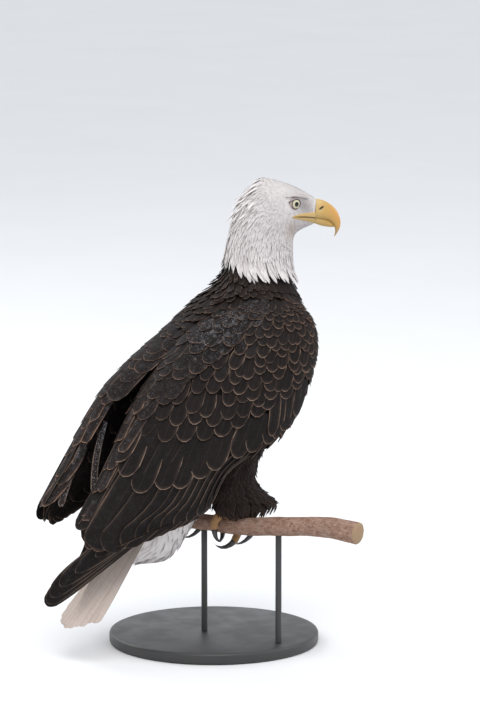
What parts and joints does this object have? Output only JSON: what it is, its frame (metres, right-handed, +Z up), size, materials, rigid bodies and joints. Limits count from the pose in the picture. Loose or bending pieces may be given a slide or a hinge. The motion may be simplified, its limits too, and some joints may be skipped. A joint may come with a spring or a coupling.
{
  "type": "bald eagle model",
  "caption": "Life-size still model of a perched adult bald eagle with folded wings, its head turned aside, gripping a cut length of branch on a plain display stand.",
  "frame": {"origin": "centre of the underside of the stand's base, on the floor", "axes": "+Z up; the bird's breast faces +X and its left wing is at +Y; its head is turned 30 degrees to its right, towards -Y"},
  "size_m": [0.4981, 0.435, 0.7318],
  "materials": {
    "head_feathers": "warm white feathers, matt, in lanceolate tips",
    "body_feathers": "dark brown feathers with paler fringes, slight sheen",
    "tail_feathers": "off-white flight feathers with pale brown shafts",
    "bill_horn": "yellow horn, satin, greyer at the hook",
    "eye": "cream iris with a dark rim and black pupil under a wet cornea",
    "toe_skin": "scaled yellow-brown skin",
    "claw_horn": "black horn, satin",
    "perch_wood": "weathered bare branch",
    "stand_paint": "satin black paint"
  },
  "bodies": {
    "root": {"bill_lower": "bill_horn", "bill_upper": "bill_horn", "cere": "bill_horn", "claw_left_hallux": "claw_horn", "claw_left_inner": "claw_horn", "claw_left_middle": "claw_horn", "claw_left_outer": "claw_horn", "claw_right_hallux": "claw_horn", "claw_right_inner": "claw_horn", "claw_right_middle": "claw_horn", "claw_right_outer": "claw_horn", "eye_left": "eye", "eye_right": "eye", "foot_left": "toe_skin", "foot_right": "toe_skin", "head": "head_feathers", "neck": "head_feathers", "perch": "perch_wood", "stand_base": "stand_paint", "stand_rod_mid": "stand_paint", "stand_rod_side": "stand_paint", "tail": "tail_feathers", "tail_coverts": "head_feathers", "thigh_left": "body_feathers", "thigh_right": "body_feathers", "trunk": "body_feathers", "wing_left_arm": "body_feathers", "wing_left_primaries": "body_feathers", "wing_left_secondaries": "body_feathers", "wing_right_arm": "body_feathers", "wing_right_primaries": "body_feathers", "wing_right_secondaries": "body_feathers"}
  },
  "joints": []
}
